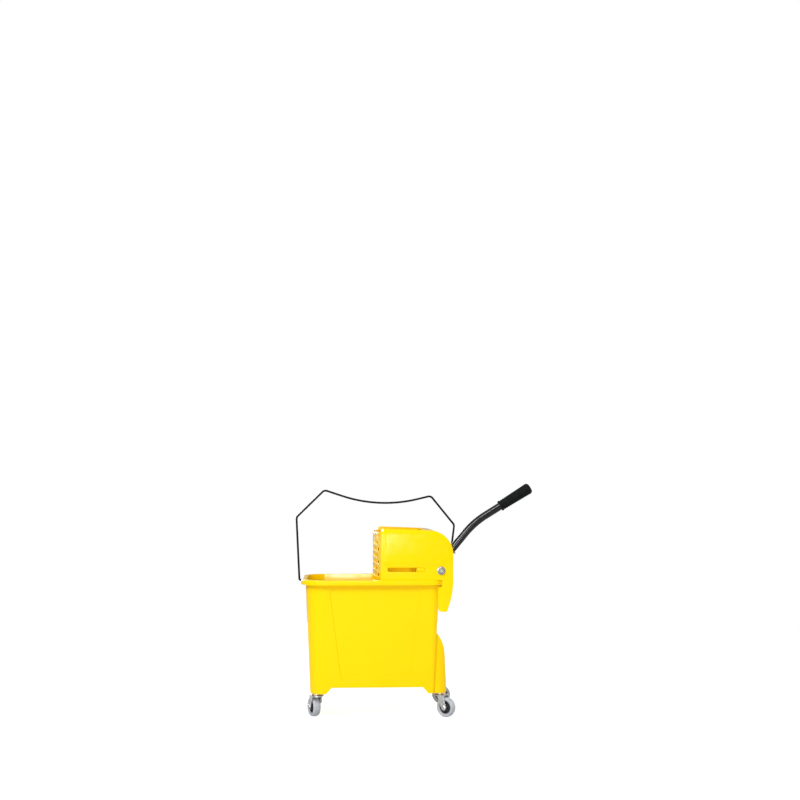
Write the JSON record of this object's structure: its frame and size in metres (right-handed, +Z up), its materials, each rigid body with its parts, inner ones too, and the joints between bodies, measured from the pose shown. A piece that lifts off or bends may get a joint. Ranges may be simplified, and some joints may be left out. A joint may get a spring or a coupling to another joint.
{
  "type": "mop bucket with wringer",
  "caption": "Tapered floor-cleaning bucket on swivel casters, with a wire bail and a lever-worked side wringer whose plate presses a mop against a bowed grille.",
  "frame": {"origin": "on the floor, under the tub and between the four casters", "axes": "+X towards the lever end, +Y towards the long side away from the front, +Z up"},
  "size_m": [0.6511, 0.275, 0.6094],
  "materials": {
    "yellow": "glossy moulded polypropylene",
    "black_wire": "black coated steel wire",
    "black_paint": "gloss black painted steel",
    "grip_rubber": "matte black rubber",
    "bright_steel": "bright zinc",
    "zinc": "zinc plated steel",
    "zinc_yellow": "yellow passivated zinc",
    "nylon": "natural nylon",
    "hub_black": "black moulded core",
    "tyre_grey": "grey non-marking tread"
  },
  "bodies": {
    "bucket": {"bucket_tub": "yellow", "wringer_housing": "yellow", "strainer_grille": "yellow", "pivot_bolt_near": "bright_steel", "pivot_bolt_far": "bright_steel", "caster_fl_stem": "zinc_yellow", "caster_fr_stem": "zinc_yellow", "caster_rl_stem": "zinc_yellow", "caster_rr_stem": "zinc_yellow"},
    "bail": {"bail_wire": "black_wire", "bail_clips": "zinc"},
    "lever": {"pivot_tube": "zinc", "pivot_bush_near": "nylon", "pivot_bush_far": "nylon", "cam_plate_near": "zinc", "cam_plate_far": "zinc", "lever_socket": "black_paint", "lever_tube": "black_paint", "lever_grip": "grip_rubber", "lever_bolt": "zinc", "lever_nut": "zinc"},
    "press": {"press_plate": "yellow", "guide_block_near": "yellow", "guide_block_far": "yellow", "cam_pin_near": "bright_steel", "cam_pin_far": "bright_steel"},
    "fork_fl": {"caster_fl_fork": "zinc", "caster_fl_axle": "zinc"},
    "wheel_fl": {"caster_fl_hub": "hub_black", "caster_fl_tyre": "tyre_grey"},
    "fork_fr": {"caster_fr_fork": "zinc", "caster_fr_axle": "zinc"},
    "wheel_fr": {"caster_fr_hub": "hub_black", "caster_fr_tyre": "tyre_grey"},
    "fork_rl": {"caster_rl_fork": "zinc", "caster_rl_axle": "zinc"},
    "wheel_rl": {"caster_rl_hub": "hub_black", "caster_rl_tyre": "tyre_grey"},
    "fork_rr": {"caster_rr_fork": "zinc", "caster_rr_axle": "zinc"},
    "wheel_rr": {"caster_rr_hub": "hub_black", "caster_rr_tyre": "tyre_grey"}
  },
  "joints": [
    {"name": "lever_press", "type": "hinge", "parent": "bucket", "child": "lever", "pos_m": [0.1657, 0, 0.3805], "axis": [0, 1, 0], "range_deg": [0, 50], "stiffness_Nm_per_rad": 0.6, "springref_deg": -57.3},
    {"name": "press_slide", "type": "slide", "parent": "bucket", "child": "press", "axis": [-1, 0, 0], "range_m": [0, 0.07]},
    {"name": "bail_swing", "type": "hinge", "parent": "bucket", "child": "bail", "pos_m": [0, 0.022, 0.347], "axis": [-1, 0, 0], "range_deg": [0, 150]},
    {"name": "swivel_fl", "type": "hinge", "parent": "bucket", "child": "fork_fl", "pos_m": [-0.158, -0.088, 0.055], "axis": [0, 0, 1], "continuous": true},
    {"name": "roll_fl", "type": "hinge", "parent": "fork_fl", "child": "wheel_fl", "pos_m": [-0.16532, -0.07156, 0.025], "axis": [-0.9135, -0.4067, 0], "continuous": true},
    {"name": "swivel_fr", "type": "hinge", "parent": "bucket", "child": "fork_fr", "pos_m": [0.166, -0.088, 0.055], "axis": [0, 0, 1], "continuous": true},
    {"name": "roll_fr", "type": "hinge", "parent": "fork_fr", "child": "wheel_fr", "pos_m": [0.18038, -0.09883, 0.025], "axis": [0.6018, 0.7986, 0], "continuous": true},
    {"name": "swivel_rl", "type": "hinge", "parent": "bucket", "child": "fork_rl", "pos_m": [-0.158, 0.088, 0.055], "axis": [0, 0, 1], "continuous": true},
    {"name": "roll_rl", "type": "hinge", "parent": "fork_rl", "child": "wheel_rl", "pos_m": [-0.15863, 0.10599, 0.025], "axis": [-0.9994, -0.0349, 0], "continuous": true},
    {"name": "swivel_rr", "type": "hinge", "parent": "bucket", "child": "fork_rr", "pos_m": [0.166, 0.088, 0.055], "axis": [0, 0, 1], "continuous": true},
    {"name": "roll_rr", "type": "hinge", "parent": "fork_rr", "child": "wheel_rr", "pos_m": [0.18382, 0.09051, 0.025], "axis": [-0.1392, 0.9903, 0], "continuous": true}
  ],
  "couplings": [
    {"joint": "press_slide", "follows": "lever_press", "m_per_rad": 0.080214}
  ]
}
